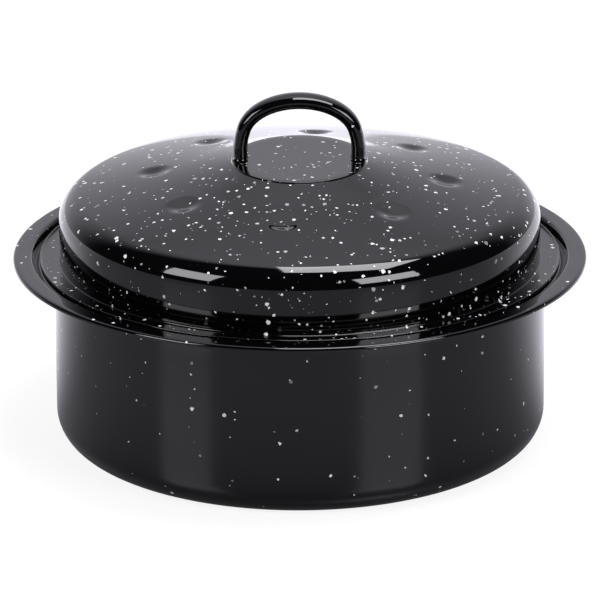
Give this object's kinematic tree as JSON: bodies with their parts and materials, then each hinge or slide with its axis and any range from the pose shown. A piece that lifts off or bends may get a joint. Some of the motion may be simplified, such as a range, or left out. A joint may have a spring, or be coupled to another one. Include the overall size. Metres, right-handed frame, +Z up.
{
  "type": "water bath canner",
  "caption": "Low round enamelled pan with a wide stepped rim, a domed dimpled lid with a loop handle, and a loose wire jar rack with folding bails.",
  "frame": {"origin": "centre of the pan's flat base, on the surface it stands on", "axes": "+Z up out of the pan; the arch of the lid's handle lies in the XZ plane, and the rack's bails hinge at -X and +X"},
  "size_m": [0.3, 0.3, 0.186],
  "materials": {
    "pan_enamel": "glossy black porcelain enamel with sparse white flecks",
    "lid_enamel": "glossy black porcelain enamel with dense white flecks",
    "handle_enamel": "glossy black porcelain enamel with a few white flecks",
    "plated_wire": "bright plated steel wire"
  },
  "bodies": {
    "pan": {"pan": "pan_enamel"},
    "lid": {"lid": "lid_enamel", "lid_handle": "handle_enamel"},
    "rack": {"rack_ring": "plated_wire", "rack_brace_left": "plated_wire", "rack_brace_right": "plated_wire", "rack_deck_wire_1": "plated_wire", "rack_deck_wire_2": "plated_wire", "rack_deck_wire_3": "plated_wire", "rack_deck_wire_4": "plated_wire", "rack_deck_wire_5": "plated_wire", "rack_deck_wire_6": "plated_wire", "rack_deck_wire_7": "plated_wire", "rack_deck_wire_8": "plated_wire", "rack_deck_wire_9": "plated_wire", "rack_foot_1": "plated_wire", "rack_foot_2": "plated_wire", "rack_foot_3": "plated_wire", "rack_foot_4": "plated_wire"},
    "rack_bail_left": {"rack_bail_left": "plated_wire"},
    "rack_bail_right": {"rack_bail_right": "plated_wire"}
  },
  "joints": [
    {"name": "lid_lift", "type": "slide", "parent": "pan", "child": "lid", "axis": [0, 0, 1], "range_m": [0, 0.25]},
    {"name": "rack_lift", "type": "slide", "parent": "pan", "child": "rack", "axis": [0, 0, 1], "range_m": [0, 0.05]},
    {"name": "rack_bail_left_fold", "type": "hinge", "parent": "rack", "child": "rack_bail_left", "pos_m": [-0.10394, 0, 0.013], "axis": [0, -1, 0], "range_deg": [0, 90]},
    {"name": "rack_bail_right_fold", "type": "hinge", "parent": "rack", "child": "rack_bail_right", "pos_m": [0.10394, 0, 0.013], "axis": [0, 1, 0], "range_deg": [0, 90]}
  ]
}
